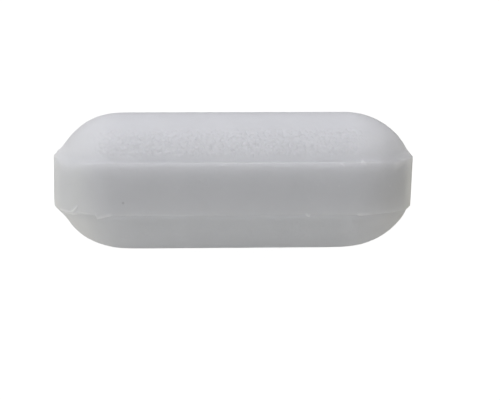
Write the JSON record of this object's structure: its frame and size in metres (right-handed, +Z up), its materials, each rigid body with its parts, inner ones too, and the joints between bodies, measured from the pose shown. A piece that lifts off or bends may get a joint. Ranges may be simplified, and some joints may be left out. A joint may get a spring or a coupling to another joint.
{
  "type": "magnetic stir bar",
  "caption": "Round-ended magnetic stir bar: a rod magnet sealed in a white moulded jacket, with a flat-walled band round its middle and trimmed flash.",
  "frame": {"origin": "under the middle of the bar, on the surface that its flat band wall lies on", "axes": "+X along the bar, +Y along the moulding direction from cup to cup, +Z up from the lower flat wall to the upper one"},
  "size_m": [0.0254, 0.0096, 0.0096],
  "materials": {
    "jacket": "translucent waxy white fluoropolymer, moulded and sintered, faintly pebbled, with a soft sheen",
    "magnet": "dark grey cast magnet alloy, ground to a dull finish"
  },
  "bodies": {
    "root": {"ptfe_jacket": "jacket", "magnet_core": "magnet"}
  },
  "joints": []
}
